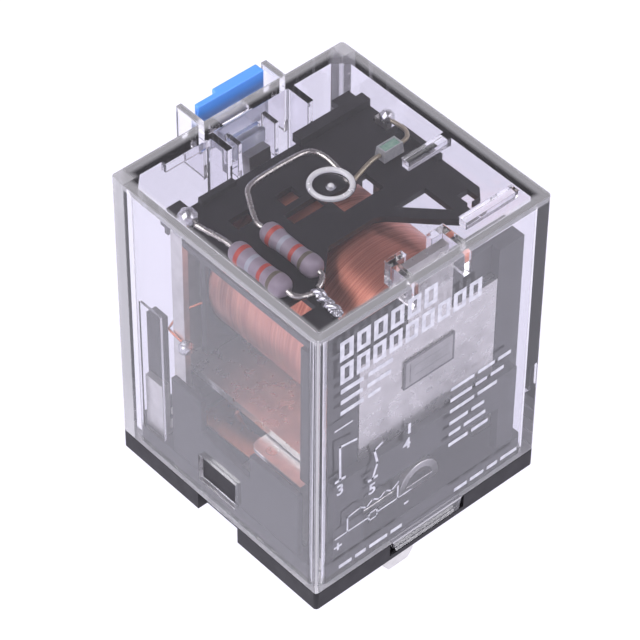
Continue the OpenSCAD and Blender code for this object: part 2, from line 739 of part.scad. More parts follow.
module top_plate() {
    left = -in_x + 2.2;
    right = in_x - 0.2;
    rear = yoke_end - 0.1;
    color([0.15, 0.15, 0.16]) difference() {
        union() {
            translate([0, 0, plate_z]) linear_extrude(plate_t) polygon([[left, -in_y + 2.8],
                [left + 3.4, -in_y + 2.8], [left + 5, -8.6], [left + 7.5, -6], [left + 10.2, -3.5],
                [3.4, -3.5], [4.5, -4.1], [10.3, -10.1], [12.6, -10], [right - 1.4, -9.2],
                [right, -7.6], [right, rear], [left, rear]]);
            // raised edges along the rear
            block([button_x + 3, rear - 0.8, plate_top - 0.1], [right, rear + 0.7, plate_top + 1.1]);
            block([left, rear - 0.8, plate_top - 0.1], [left + 2, rear + 0.7, plate_top + 1.1]);
            block([left + 4, rear - 0.8, plate_top - 0.1], [left + 9, rear, plate_top + 0.7]);
            block([right - 0.8, -1.5, plate_top - 0.1], [right, post_b_y - 2.3, plate_top + 0.9]);
            // shelf over the right rear post
            block([in_x - 0.3, rear - 0.1, plate_z], [in_x - 3, in_y - 1.6, plate_top]);
            // saddles that hold the resistors
            for (x = [resistor_1_x, resistor_2_x]) block([x - 0.5, resistor_y - 1.2, plate_top - 0.1],
                [x + 0.5, resistor_y + 1.2, plate_top + 0.3]);
        }
        // three-cornered window inside the strut
        translate([0, 0, plate_z - 1]) linear_extrude(3) polygon([[6.3, -3.6], [11, -3.6], [11, -8.4]]);
        // square eye, open at the front
        block([right - 2.8, -8.7, plate_z - 1], [right - 1.2, -6.9, plate_top + 1]);
        block([right - 3.2, -11, plate_z - 1], [right - 2.3, -8.6, plate_top + 1]);
        for (w = [[-1.4, 5.5, 2.6, 2], [-7.6, 6, 3, 1.8], [-1.4, 2.6, 5, 1.8], [-11.8, -8.4, 2.2, 2.4],
                  [4.6, 1, 6, 3]])
            translate([w[0], w[1], plate_z]) cube([w[2], w[3], 4], center = true);
        // clearance for the two coil posts and for the resistors' bodies
        block([post_a_x - post_gap, post_a_y - 2 * post_gap, plate_z - 1],
              [post_a_x + post_gap, post_a_y + 2 * post_gap, plate_top + 0.2]);
        block([post_b_x - post_gap, post_b_y - 2 * post_gap, plate_z - 1],
              [post_b_x + 1.5, post_b_y + 2 * post_gap, plate_top + 1]);
        for (x = [resistor_1_x, resistor_2_x])
            rod_y(x, resistor_z, resistor_y - resistor_l / 2, resistor_y + resistor_l / 2,
                resistor_d / 2 + 0.02);
    }
}

// A moulded resistor body with swollen ends, lying along Y
module resistor(x) {
    r = resistor_d / 2;
    waist = r * 0.86;
    h = resistor_l / 2;
    color([0.72, 0.66, 0.72]) translate([x, resistor_y, resistor_z]) rotate([90, 0, 0])
        rotate_extrude() polygon([[0, -h], [r * 0.7, -h], [r, -h + 0.5], [r, -h + 1.8],
            [waist, -h + 2.5], [waist, h - 2.5], [r, h - 1.8], [r, h - 0.5], [r * 0.7, h], [0, h]]);
}

module resistor_1() { resistor(resistor_1_x); }
module resistor_2() { resistor(resistor_2_x); }

function resistor_end(x, side) = [x, resistor_y + side * (resistor_l / 2 + 0.03), resistor_z];

module resistor_1_leads() {
    rear = resistor_end(resistor_1_x, 1);
    front = resistor_end(resistor_1_x, -1);
    color("silver") {
        wire(curve([rear, rear + [0, 1.6, 0], [post_a_x + 0.4, post_a_y - 2.6, plate_top + 1],
            [post_a_x, post_a_y - 0.6, post_top + 0.6]]), lead_d);
        wire(curve([front, front + [0.1, -0.8, -0.1], front + [0.9, -1.5, -0.3],
            twist[0] + [-0.5, -0.15, 0]]), lead_d);
    }
}

module resistor_2_leads() {
    rear = resistor_end(resistor_2_x, 1);
    front = resistor_end(resistor_2_x, -1);
    z = resistor_z;
    run_y = yoke_end - 3.3;
    color("silver") {
        wire(curve([rear, rear + [0, 1.4, 0], [rear[0] + 1.3, run_y - 2, z + 0.4],
            [rear[0] + 2.4, run_y - 0.5, z + 0.6], [rear[0] + 4.5, run_y, z + 0.6],
            [lead_end_x - 3.5, run_y, z + 0.6], [lead_end_x - 1.1, run_y - 0.4, z + 0.5],
            [lead_end_x - 0.2, run_y - 2, z + 0.2], [lead_end_x - 0.1, run_y - 4.4, z - 0.4],
            [lead_end_x, led_y + 0.8, plate_top + 0.5]]), lead_d);
        wire(curve([front, front + [-0.1, -0.6, -0.1], front + [-0.8, -1.2, -0.3],
            twist[0] + [0.5, 0.1, 0]]), lead_d);
    }
}

module indicator_led() {
    color([0.6, 0.8, 0.7]) block([led_x, led_y, led_z], [led_x + led_w, led_y + 1.7, led_z + 1.5]);
}

module indicator_lead() {
    z = plate_top + 1.3;
    color("silver") {
        wire(curve([[led_x + led_w + 0.02, led_y + 0.8, z], [led_x + led_w + 1.2, led_y + 0.9, z + 0.2],
            [post_b_x, post_b_y - 3.5, z + 0.1], [post_b_x, post_b_y - 0.6, post_top + 0.5]]),
            lead_d * 0.8);
        wire(curve([[led_x - 0.02, led_y + 0.8, z], [led_x - 1.4, led_y + 0.7, z + 0.1],
            [lead_end_x, led_y + 0.3, plate_top + 0.45]]), lead_d * 0.8);
    }
}

// ---- coil ends and solder ----

module coil_wire_a() {
    x = post_a_x - post_t / 2 - 0.15;
    z = coil_end_z;
    color([0.75, 0.42, 0.25]) wire(curve([[x + 0.05, post_a_y - 1.5, z], [x, post_a_y + 1.4, z + 0.4],
        [x + 0.6, coil_y1 + 2.2, z + 0.2], [x + 2.2, coil_y1 + 2, z + 1.6],
        [mech_x - coil_r - 0.45, coil_y1 + 0.5, z + 3]]), 0.3, [1, 0, 0.3], 8);
}

module coil_wire_b() {
    x = post_b_x - post_t / 2 - 0.2;
    z = coil_end_z;
    edge = mech_x + coil_r + 0.48;
    color([0.75, 0.42, 0.25]) wire(curve([[x, post_b_y - 1.5, z], [x - 0.1, post_b_y + 1, z + 0.3],
        [x - 0.5, coil_y1 + 0.2, z + 0.8], [edge + 0.14, coil_y1 + 0.5, z + 2.2],
        [edge, coil_y1 + 0.5, z + 3.3]]), 0.3, [1, 0, 0.3], 8);
}

module solder_joints() {
    end_r = 0.9;
    top_r = 1.2;
    length = norm(twist[1] - twist[0]);
    turn = atan2(twist[1][0] - twist[0][0], twist[0][1] - twist[1][1]);
    dip = asin((twist[0][2] - twist[1][2]) / length);
    color("gainsboro") {
        // where the winding's ends meet the posts
        translate([post_a_x - post_t / 2 - 0.35, post_a_y - 1.6, coil_end_z]) sphere(end_r, $fn = 24);
        translate([post_b_x - post_t / 2 - 0.35, post_b_y - 1.6, coil_end_z]) sphere(end_r, $fn = 24);
        // on top of the posts, round the leads
        translate([post_a_x, post_a_y - 0.6, post_top + 0.9]) sphere(top_r, $fn = 32);
        translate([post_b_x, post_b_y - 0.6, post_top + 0.7]) sphere(end_r, $fn = 24);
        // over the two twisted leads
        translate(twist[0]) rotate([0, 0, turn]) rotate([90 + dip, 0, 0]) cylinder(h = length, r = twist_r);
        translate(twist[1]) sphere(twist_r * 1.25, $fn = 24);
    }
}

// ---- test button ----

module test_button() {
    step = 0.7;
    x0 = button_x - button_half;
    x1 = button_x + button_half;
    shoulder = x0 + button_w / 3;
    color("dodgerblue") {
        block([stem_x - stem_half, button_inner_y, button_z],
              [stem_x + stem_half, cap_y + 0.1, stem_top]);
        block([x0, cap_y, button_z], [shoulder, case_d / 2 + button_out - step, cap_top]);
        block([shoulder - 0.1, cap_y, button_z], [x1, case_d / 2 + button_out, cap_top]);
        // lugs that keep the button in the cover
        for (side = [-1, 1]) block([stem_x + side * (stem_half - 0.1), button_inner_y, button_z + 0.4],
            [stem_x + side * (stem_half + 0.4), button_inner_y + 0.66, stem_top]);
    }
}

base();
bobbin();
top_plate();
coil_winding();
core();
yoke();
armature();
moving_block();
block_rivets();
no_contact_spring();
nc_contact_spring();
no_moving_contact();
nc_moving_contact();
no_fixed_contact();
nc_fixed_contact();
no_fixed_terminal();
nc_fixed_terminal();
no_common_terminal();
nc_common_terminal();
coil_terminal_a();
coil_terminal_b();
no_braid();
nc_braid();
return_spring();
arc_magnet();
resistor_1();
resistor_2();
resistor_1_leads();
resistor_2_leads();
indicator_led();
indicator_lead();
coil_wire_a();
coil_wire_b();
solder_joints();
test_button();
cover();
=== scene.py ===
import json
import math
import random

import bmesh
import bpy
from mathutils import Matrix, Vector, noise

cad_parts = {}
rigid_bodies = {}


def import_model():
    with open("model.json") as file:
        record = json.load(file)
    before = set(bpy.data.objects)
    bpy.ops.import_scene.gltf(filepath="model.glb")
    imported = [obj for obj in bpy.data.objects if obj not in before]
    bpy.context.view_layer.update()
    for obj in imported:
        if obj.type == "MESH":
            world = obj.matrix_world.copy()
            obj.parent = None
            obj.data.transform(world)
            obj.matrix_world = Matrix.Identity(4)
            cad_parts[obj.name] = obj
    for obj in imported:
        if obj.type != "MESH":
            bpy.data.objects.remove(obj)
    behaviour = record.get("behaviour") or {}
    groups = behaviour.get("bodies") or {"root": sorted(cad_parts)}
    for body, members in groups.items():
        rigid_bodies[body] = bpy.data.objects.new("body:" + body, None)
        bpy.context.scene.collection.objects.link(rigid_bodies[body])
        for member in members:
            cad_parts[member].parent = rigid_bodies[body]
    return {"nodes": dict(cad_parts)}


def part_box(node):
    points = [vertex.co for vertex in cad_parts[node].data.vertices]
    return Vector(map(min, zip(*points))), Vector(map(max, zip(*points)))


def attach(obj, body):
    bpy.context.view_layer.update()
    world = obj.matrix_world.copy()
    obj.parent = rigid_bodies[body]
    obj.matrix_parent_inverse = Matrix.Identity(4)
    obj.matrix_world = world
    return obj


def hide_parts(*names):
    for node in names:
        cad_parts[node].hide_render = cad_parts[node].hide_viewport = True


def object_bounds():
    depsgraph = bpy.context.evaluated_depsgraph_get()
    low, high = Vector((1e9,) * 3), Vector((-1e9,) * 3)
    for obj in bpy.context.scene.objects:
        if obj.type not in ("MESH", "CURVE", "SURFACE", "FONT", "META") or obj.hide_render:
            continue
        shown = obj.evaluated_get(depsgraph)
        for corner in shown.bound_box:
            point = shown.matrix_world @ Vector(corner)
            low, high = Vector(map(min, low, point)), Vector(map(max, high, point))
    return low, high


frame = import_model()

mm = 0.001
cad_low, cad_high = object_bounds()
relay_middle = (cad_low + cad_high) / 2
scene = bpy.context.scene
scene.view_settings.view_transform = "Standard"


def paint(red, green, blue):
    """A colour given as a display reads it, from 0 to 255, as light."""
    return tuple(((v / 255 + 0.055) / 1.055) ** 2.4 if v > 10 else v / 255 / 12.92
                 for v in (red, green, blue))


def new_finish(name, colour, rough, metal=0.0, ior=1.5):
    """A material with one Principled shader, and that shader."""
    mat = bpy.data.materials.new(name)
    mat.use_nodes = True
    shader = mat.node_tree.nodes["Principled BSDF"]
    shader.inputs["Base Color"].default_value = (*colour, 1)
    shader.inputs["Roughness"].default_value = rough
    shader.inputs["Metallic"].default_value = metal
    shader.inputs["IOR"].default_value = ior
    mat.diffuse_color = (*colour, 1)
    return mat, shader


def add(mat, kind, **settings):
    """A node of that kind in the material, with its own settings."""
    made = mat.node_tree.nodes.new(kind)
    for name, value in settings.items():
        setattr(made, name, value)
    return made


def feed(mat, output, target):
    mat.node_tree.links.new(output, target)


def speckle(mat, per_mm, detail=3, stretch=(1, 1, 1)):
    """Noise with that many spots to the millimetre, stretched along each axis."""
    spot = add(mat, "ShaderNodeTexCoord")
    in_mm = add(mat, "ShaderNodeMapping")
    in_mm.inputs["Scale"].default_value = [s / mm for s in stretch]
    feed(mat, spot.outputs["Object"], in_mm.inputs["Vector"])
    spots = add(mat, "ShaderNodeTexNoise")
    spots.inputs["Scale"].default_value = per_mm
    spots.inputs["Detail"].default_value = detail
    feed(mat, in_mm.outputs["Vector"], spots.inputs["Vector"])
    return spots.outputs["Fac"]


def between(mat, value, low, high, start=0.3, stop=0.7):
    """The value spread from low to high."""
    spread = add(mat, "ShaderNodeMapRange")
    spread.inputs["From Min"].default_value = start
    spread.inputs["From Max"].default_value = stop
    spread.inputs["To Min"].default_value = low
    spread.inputs["To Max"].default_value = high
    feed(mat, value, spread.inputs["Value"])
    return spread.outputs["Result"]


def shades(mat, value, first, second, start=0.35, stop=0.65):
    """The value as a colour between two shades."""
    ramp = add(mat, "ShaderNodeValToRGB")
    ramp.color_ramp.elements[0].position = start
    ramp.color_ramp.elements[0].color = (*first, 1)
    ramp.color_ramp.elements[1].position = stop
    ramp.color_ramp.elements[1].color = (*second, 1)
    feed(mat, value, ramp.inputs["Fac"])
    return ramp.outputs["Color"]


def relief(mat, shader, value, depth, strength=0.5):
    """Raises the surface by the value, depth in millimetres."""
    bump = add(mat, "ShaderNodeBump")
    bump.inputs["Strength"].default_value = strength
    bump.inputs["Distance"].default_value = depth * mm
    feed(mat, value, bump.inputs["Height"])
    feed(mat, bump.outputs["Normal"], shader.inputs["Normal"])


table_half = 2.5
table_gap = 0.02 * mm
table_mesh = bmesh.new()
bmesh.ops.create_grid(table_mesh, x_segments=1, y_segments=1, size=table_half)
bmesh.ops.translate(table_mesh, verts=table_mesh.verts, vec=(0, 0, cad_low.z - table_gap))
table_data = bpy.data.meshes.new("table")
table_mesh.to_mesh(table_data)
table_mesh.free()
table = bpy.data.objects.new("table", table_data)
scene.collection.objects.link(table)
table_white, table_shader = new_finish("milky_table", (0.07, 0.07, 0.07), 0.7)
feed(table_white, between(table_white, speckle(table_white, 0.05), 0.66, 0.74),
     table_shader.inputs["Roughness"])
table_shader.inputs["Emission Color"].default_value = (0.99, 0.97, 1.12, 1)
table_shader.inputs["Emission Strength"].default_value = 1.0
table_data.materials.append(table_white)

sky = bpy.data.worlds.new("light_tent")
sky.use_nodes = True
tent_cloth = sky.node_tree.nodes["Background"]
tent_cloth.inputs["Color"].default_value = (0.98, 0.93, 1.05, 1)
tent_side = sky.node_tree.nodes.new("ShaderNodeTexCoord")
tent_height = sky.node_tree.nodes.new("ShaderNodeSeparateXYZ")
tent_fade = sky.node_tree.nodes.new("ShaderNodeMapRange")
tent_fade.inputs["From Min"].default_value = 0.15
tent_fade.inputs["From Max"].default_value = 0.75
tent_fade.inputs["To Min"].default_value = 1.05
tent_fade.inputs["To Max"].default_value = 0.26
sky.node_tree.links.new(tent_side.outputs["Generated"], tent_height.inputs["Vector"])
sky.node_tree.links.new(tent_height.outputs["Z"], tent_fade.inputs["Value"])
sky.node_tree.links.new(tent_fade.outputs["Result"], tent_cloth.inputs["Strength"])
scene.world = sky


def soft_lamp(name, direction, distance, width, power):
    """A square lamp that shines on the relay from that direction."""
    light = bpy.data.lights.new(name, "AREA")
    light.size = width
    light.energy = power
    lamp = bpy.data.objects.new(name, light)
    aim = Vector(direction).normalized()
    lamp.matrix_world = (Matrix.Translation(relay_middle + aim * distance)
                         @ aim.to_track_quat("Z", "Y").to_matrix().to_4x4())
    scene.collection.objects.link(lamp)


soft_lamp("window_lamp", (-0.9, 0.2, 0.9), 0.55, 0.5, 3.4)
soft_lamp("front_lamp", (0.5, -0.9, 0.7), 0.7, 0.5, 2.1)

view_turn = math.radians(-42.06)
view_rise = math.radians(45.285)
view_roll = math.radians(0.499)
back = Vector((math.sin(view_turn) * math.cos(view_rise),
               -math.cos(view_turn) * math.cos(view_rise), math.sin(view_rise)))
level = Vector((0, 0, 1)).cross(back).normalized()
upward = back.cross(level)
right = level * math.cos(view_roll) + upward * math.sin(view_roll)
up = upward * math.cos(view_roll) - level * math.sin(view_roll)
camera_data = bpy.data.cameras.new("camera")
camera_data.sensor_width = 36
camera_data.lens = 191.1
camera_data.clip_end = 20
camera = bpy.data.objects.new("camera", camera_data)
camera.matrix_world = (Matrix.Translation(Vector((-184.27, -202.63, 299.25)) * mm)
                       @ Matrix((right, up, back)).transposed().to_4x4())
scene.collection.objects.link(camera)
scene.camera = camera

# ---- base ----
# The black base is one moulding of glass-filled nylon: a rim that the cover stands on,
# a deck that holds the blades, low side walls and two latches for the cover.
nylon_black = paint(30, 28, 32)


def moulded_black(name, colour, rough):
    """Black moulded plastic, with a fine grain and uneven gloss."""
    mat, shader = new_finish(name, colour, rough, ior=1.53)
    shader.inputs["Specular IOR Level"].default_value = 0.3
    feed(mat, shades(mat, speckle(mat, 0.3), colour, tuple(c * 1.25 for c in colour)),
         shader.inputs["Base Color"])
    feed(mat, between(mat, speckle(mat, 0.6), rough - 0.05, rough + 0.06),
         shader.inputs["Roughness"])
    relief(mat, shader, speckle(mat, 14, 2), 0.008, 0.3)
    return mat


def body_name(node):
    """The name of the body that a CAD piece belongs to."""
    return frame["nodes"][node].parent.name.split(":")[1]


def place(bm, name, mat, body, sharp=32):
    """Makes an object of a bmesh, shades it and lets it ride on its body."""
    data = bpy.data.meshes.new(name)
    bm.to_mesh(data)
    bm.free()
    data.polygons.foreach_set("use_smooth", [True] * len(data.polygons))
    data.set_sharp_from_angle(angle=math.radians(sharp))
    if not data.materials:
        data.materials.append(mat)
    obj = bpy.data.objects.new(name, data)
    scene.collection.objects.link(obj)
    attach(obj, body)
    return obj


def merged(node):
    """A bmesh copy of a CAD piece, with its loose triangles joined into flat faces."""
    bm = bmesh.new()
    bm.from_mesh(frame["nodes"][node].data)
    bmesh.ops.remove_doubles(bm, verts=bm.verts, dist=0.002 * mm)
    bmesh.ops.dissolve_limit(bm, angle_limit=math.radians(0.8), verts=bm.verts, edges=bm.edges)
    return bm


def soften(bm, width, segments=2, turn=40):
    """Rounds every edge that turns by more than that many degrees."""
    edges = [e for e in bm.edges if len(e.link_faces) == 2
             and e.calc_face_angle(0) > math.radians(turn)]
    bmesh.ops.bevel(bm, geom=edges, offset=width * mm, offset_type="OFFSET", affect="EDGES",
                    segments=segments, profile=0.5, material=-1, clamp_overlap=True)


def rounded(node, name, mat, width, segments=2, turn=40):
    """A CAD piece with its moulded or stamped edges rounded, standing for that piece."""
    bm = merged(node)
    soften(bm, width, segments, turn)
    obj = place(bm, name, mat, body_name(node))
    even = obj.modifiers.new("even_shading", "WEIGHTED_NORMAL")
    even.keep_sharp = True
    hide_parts(node)
    return obj


base_plastic = moulded_black("base_plastic", nylon_black, 0.5)
rounded("base", "base_moulding", base_plastic, 0.14, 2)

# ---- blades and contact strips ----
# Six plug blades are stamped from brass strip and tinned. Each is pressed through the
# deck, and its strip inside runs to a contact, a braid or a post of the coil.
tin_bright = paint(226, 224, 220)


def stamped_metal(name, colour, rough, streak=(1, 1, 1)):
    """Plated sheet metal, with faint rolling marks and dull patches."""
    mat, shader = new_finish(name, colour, rough, metal=1.0)
    feed(mat, shades(mat, speckle(mat, 0.9, 5), colour, tuple(c * 0.86 for c in colour)),
         shader.inputs["Base Color"])
    feed(mat, between(mat, speckle(mat, 1.3, 5), rough - 0.05, rough + 0.1),
         shader.inputs["Roughness"])
    relief(mat, shader, speckle(mat, 7, 3, streak), 0.006, 0.35)
    return mat


tinned_strip = stamped_metal("tinned_strip", tin_bright, 0.36, (0.2, 1, 1))
for terminal in ("no_fixed_terminal", "nc_fixed_terminal", "no_common_terminal",
                 "nc_common_terminal", "coil_terminal_a", "coil_terminal_b"):
    rounded(terminal, terminal + "_strip", tinned_strip, 0.06, 1)

# ---- bobbin ----
# The bobbin is moulded in black polyester: a front wall and rear flange for the winding,
# columns beside the yoke's leg, and an apron and feet that reach down to the base.
polyester_black = paint(30, 29, 33)
bobbin_plastic = moulded_black("bobbin_plastic", polyester_black, 0.45)
rounded("bobbin", "bobbin_moulding", bobbin_plastic, 0.12, 2)

# ---- winding ----
# Thousands of turns of enamelled copper wire, wound in even layers round the bobbin.
# The last layer shows as fine, slightly uneven lines across the coil.
enamel_copper = paint(226, 138, 112)
winding, winding_shader = new_finish("enamelled_copper", enamel_copper, 0.36, metal=0.85)
wire_lines = speckle(winding, 4.5, 3, (0.012, 1, 0.012))
feed(winding, shades(winding, wire_lines, paint(190, 112, 92), paint(236, 160, 136), 0.3, 0.68),
     winding_shader.inputs["Base Color"])
feed(winding, between(winding, speckle(winding, 0.5), 0.3, 0.46),
     winding_shader.inputs["Roughness"])
relief(winding, winding_shader, wire_lines, 0.03, 0.45)
rounded("coil_winding", "wound_coil", winding, 0.15, 2)

# ---- core and yoke ----
# The magnet's iron: a turned core, and a yoke bent from sheet steel with the core's
# tenon staked through its upright leg. Both are zinc plated and dull with handling.
zinc_grey = paint(222, 219, 214)


def zinc_plate(name, colour, rough=0.5):
    """Zinc plate: mottled and lightly pitted."""
    mat, shader = new_finish(name, colour, rough, metal=0.9)
    feed(mat, shades(mat, speckle(mat, 0.35, 6), colour, tuple(c * 0.8 for c in colour), 0.4, 0.75),
         shader.inputs["Base Color"])
    feed(mat, between(mat, speckle(mat, 0.7, 5), rough - 0.06, rough + 0.14),
         shader.inputs["Roughness"])
    relief(mat, shader, speckle(mat, 3, 4), 0.012, 0.3)
    return mat


yoke_zinc = zinc_plate("yoke_zinc", zinc_grey, 0.27)
rounded("yoke", "yoke_plate", yoke_zinc, 0.1, 2)
core_zinc = zinc_plate("core_zinc", paint(190, 188, 186))
rounded("core", "staked_core", core_zinc, 0.12, 2)

low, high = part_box("core")
tenon_middle = Vector(((low.x + high.x) / 2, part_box("yoke")[0].y, (low.z + high.z) / 2))
staked = bmesh.new()


def burr(x0, z0, x1, z1, thick, proud):
    """A round-backed ridge on the yoke's front face, from the tenon's middle."""
    start, stop = Vector((x0, 0, z0)) * mm, Vector((x1, 0, z1)) * mm
    run = stop - start
    lie = (Matrix.Translation(tenon_middle + (start + stop) / 2)
           @ Matrix.Rotation(-math.atan2(run.z, run.x), 4, "Y")
           @ Matrix.Diagonal((run.length + thick * mm, proud * 2 * mm, thick * mm, 1)))
    bmesh.ops.create_cube(staked, size=1, matrix=lie)


# a frame of metal swelled up round the tenon, with two punch marks inside and a bar across them
frame_x, frame_z, frame_thick, frame_proud = 3.7, 2.05, 0.3, 0.25
mark_left, mark_right, mark_z, mark_thick, mark_proud = -2.2, 3.1, 0.75, 0.22, 0.2
bar_x, bar_z = -2.9, 1.4
for side in (-1, 1):
    burr(frame_thick - frame_x, frame_z * side, frame_x - frame_thick, frame_z * side,
         frame_thick, frame_proud)
    burr(frame_x * side, -frame_z, frame_x * side, frame_z, frame_thick, frame_proud)
    burr(mark_left, mark_z * side, mark_right, mark_z * side, mark_thick, mark_proud)
burr(bar_x, -bar_z, bar_x, bar_z, frame_thick, mark_proud)
soften(staked, 0.08, 2)
# the burrs are given a dark zinc, painted shade that stands for the shadowed gaps round the staked
# tenon
burr_dark = zinc_plate("burr_dark", paint(112, 110, 110))
place(staked, "staking_burrs", burr_dark, "root")

# ---- armature and moving contacts ----
# The armature is a flat steel plate, riveted to a black block that carries two copper
# contact springs. Silver contacts are riveted in the springs' ends.
armature_zinc = zinc_plate("armature_zinc", paint(186, 184, 184))
rounded("armature", "armature_plate", armature_zinc, 0.08, 2)
block_plastic = moulded_black("block_plastic", paint(40, 37, 36), 0.45)
rounded("moving_block", "spring_block", block_plastic, 0.1, 2)
rivet_steel = stamped_metal("rivet_steel", paint(196, 194, 190), 0.3)
rounded("block_rivets", "rivet_heads", rivet_steel, 0.1, 2)
spring_copper = stamped_metal("spring_copper", paint(214, 142, 104), 0.3, (1, 0.2, 1))
contact_silver = stamped_metal("contact_silver", paint(224, 222, 216), 0.2)
for spring in ("no_contact_spring", "nc_contact_spring"):
    rounded(spring, spring + "_leaf", spring_copper, 0.04, 1)
for contact in ("no_moving_contact", "nc_moving_contact", "no_fixed_contact", "nc_fixed_contact"):
    rounded(contact, contact + "_rivet", contact_silver, 0.08, 2)

# ---- return spring, braids and magnet ----
# A small steel spring pushes the block away from the deck. Two stranded copper braids
# carry the current to the springs, and a ferrite block between the poles blows out arcs.
spring_steel = stamped_metal("spring_steel", paint(180, 180, 184), 0.25)
braid_copper = stamped_metal("braid_copper", paint(206, 128, 92), 0.4, (1, 1, 0.3))
ferrite, ferrite_shader = new_finish("ferrite", paint(58, 56, 58), 0.7)
feed(ferrite, shades(ferrite, speckle(ferrite, 3, 5), paint(48, 46, 48), paint(74, 72, 74)),
     ferrite_shader.inputs["Base Color"])
relief(ferrite, ferrite_shader, speckle(ferrite, 8, 5), 0.03, 0.5)


def smoothed(node, name, mat):
    """A swept CAD wire with its facets shaded round, standing for that wire."""
    bm = merged(node)
    obj = place(bm, name, mat, body_name(node), 60)
    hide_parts(node)
    return obj


smoothed("return_spring", "coiled_spring", spring_steel)
smoothed("no_braid", "make_braid", braid_copper)
smoothed("nc_braid", "break_braid", braid_copper)
rounded("arc_magnet", "arc_magnet_block", ferrite, 0.2, 2)

# ---- top plate ----
# A second black moulding snaps over the coil. It has windows over the winding, and
# saddles and posts for the resistors and the indicator.
plate_plastic = moulded_black("plate_plastic", paint(33, 32, 35), 0.36)
rounded("top_plate", "top_moulding", plate_plastic, 0.1, 2)

# ---- resistors ----
# Two film resistors lie side by side in series with the indicator. Their bodies are
# dipped in a lilac-grey lacquer, thicker at the ends, with four painted colour bands.
resistor_lilac = paint(178, 164, 176)
band_red = paint(216, 84, 66)
band_pale = paint(200, 204, 214)
band_olive = paint(122, 112, 92)
band_share = 0.065  # of the body's length


def measured(mat):
    """The place on the piece, as its three outputs X, Y and Z in metres."""
    spot = add(mat, "ShaderNodeTexCoord")
    split = add(mat, "ShaderNodeSeparateXYZ")
    feed(mat, spot.outputs["Object"], split.inputs["Vector"])
    return split.outputs


def banded_lacquer(node, name):
    """The lacquer of one resistor, with its bands across the body."""
    low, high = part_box(node)
    mat, shader = new_finish(name, resistor_lilac, 0.32)
    bands = add(mat, "ShaderNodeValToRGB")
    ramp = bands.color_ramp
    ramp.interpolation = "CONSTANT"
    ramp.elements.remove(ramp.elements[1])
    ramp.elements[0].color = (*resistor_lilac, 1)
    for start, colour in ((0.16, band_red), (0.35, band_pale), (0.56, band_red), (0.74, band_olive)):
        ramp.elements.new(start).color = (*colour, 1)
        ramp.elements.new(start + band_share).color = (*resistor_lilac, 1)
    feed(mat, between(mat, measured(mat)["Y"], 0, 1, high.y, low.y), bands.inputs["Fac"])
    cloudy = add(mat, "ShaderNodeMix", data_type="RGBA", blend_type="MULTIPLY")
    cloudy.inputs[0].default_value = 0.5
    feed(mat, bands.outputs["Color"], cloudy.inputs[6])
    feed(mat, shades(mat, speckle(mat, 2.2, 5), (0.8, 0.8, 0.8), (1, 1, 1)), cloudy.inputs[7])
    feed(mat, cloudy.outputs[2], shader.inputs["Base Color"])
    relief(mat, shader, speckle(mat, 4, 4), 0.03, 0.3)
    return mat


for resistor in ("resistor_1", "resistor_2"):
    low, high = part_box(resistor)
    length = high.y - low.y
    radius = (high.x - low.x) / 2
    middle = (low + high) / 2
    bm = bmesh.new()
    steps = ((0, 0.0), (0.005, 0.42), (0.02, 0.68), (0.06, 0.9), (0.12, 0.99), (0.19, 0.99),
             (0.26, 0.9), (0.34, 0.85), (0.66, 0.85), (0.74, 0.9), (0.81, 0.99), (0.88, 0.99),
             (0.94, 0.9), (0.98, 0.68), (0.995, 0.42), (1, 0.0))
    outline = [bm.verts.new((radius * r, low.y + length * t, 0)) for t, r in steps]
    for a, b in zip(outline, outline[1:]):
        bm.edges.new((a, b))
    bmesh.ops.spin(bm, geom=bm.verts[:] + bm.edges[:], cent=(0, 0, 0), axis=(0, 1, 0),
                   dvec=(0, 0, 0), angle=math.tau, steps=40, use_merge=True)
    bmesh.ops.translate(bm, verts=bm.verts, vec=(middle.x, 0, middle.z))
    bmesh.ops.remove_doubles(bm, verts=bm.verts, dist=0.004 * mm)
    bmesh.ops.recalc_face_normals(bm, faces=bm.faces)
    body = place(bm, resistor + "_body", banded_lacquer(resistor, resistor + "_lacquer"), "root", 60)
    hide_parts(resistor)

# ---- resistor leads ----
# The leads are tinned copper wire. The two front leads are twisted together and
# soldered, one rear lead is soldered to the coil's post and the other to the indicator.
tinned_wire = stamped_metal("tinned_wire", paint(204, 200, 192), 0.22)
smoothed("resistor_1_leads", "first_leads", tinned_wire)
smoothed("resistor_2_leads", "second_leads", tinned_wire)

# ---- indicator ----
# The indicator is a small block with a pale green lens sunk in a tapered white shell. Its
# leads run to the second resistor and to the coil's right-hand post.
low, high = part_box("indicator_led")
middle = (low + high) / 2
shell_white, shell_shader = new_finish("indicator_white", paint(206, 208, 208), 0.4)
feed(shell_white,
     shades(shell_white, speckle(shell_white, 2), paint(196, 198, 200), paint(214, 216, 214)),
     shell_shader.inputs["Base Color"])
bm = bmesh.new()
bmesh.ops.create_cube(bm, size=1)
bmesh.ops.scale(bm, vec=high - low, verts=bm.verts)
bmesh.ops.translate(bm, vec=middle, verts=bm.verts)
shell_top = [f for f in bm.faces if f.normal.z > 0.9]
bmesh.ops.scale(bm, vec=(0.9, 0.86, 1), space=Matrix.Translation(-middle), verts=shell_top[0].verts)
bmesh.ops.inset_region(bm, faces=shell_top, thickness=0.22 * mm, depth=0)
bmesh.ops.inset_region(bm, faces=shell_top, thickness=0.04 * mm, depth=-0.16 * mm)
shell = place(bm, "indicator_shell", shell_white, "root", 30)
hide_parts("indicator_led")
lens_green, lens_shader = new_finish("indicator_lens", paint(150, 196, 170), 0.25)
feed(lens_green,
     shades(lens_green, speckle(lens_green, 1.5), paint(138, 184, 160), paint(168, 208, 184)),
     lens_shader.inputs["Base Color"])
lens_shader.inputs["Coat Weight"].default_value = 0.6
lens_thick = 0.2 * mm
bm = bmesh.new()
bmesh.ops.create_cube(bm, size=1)
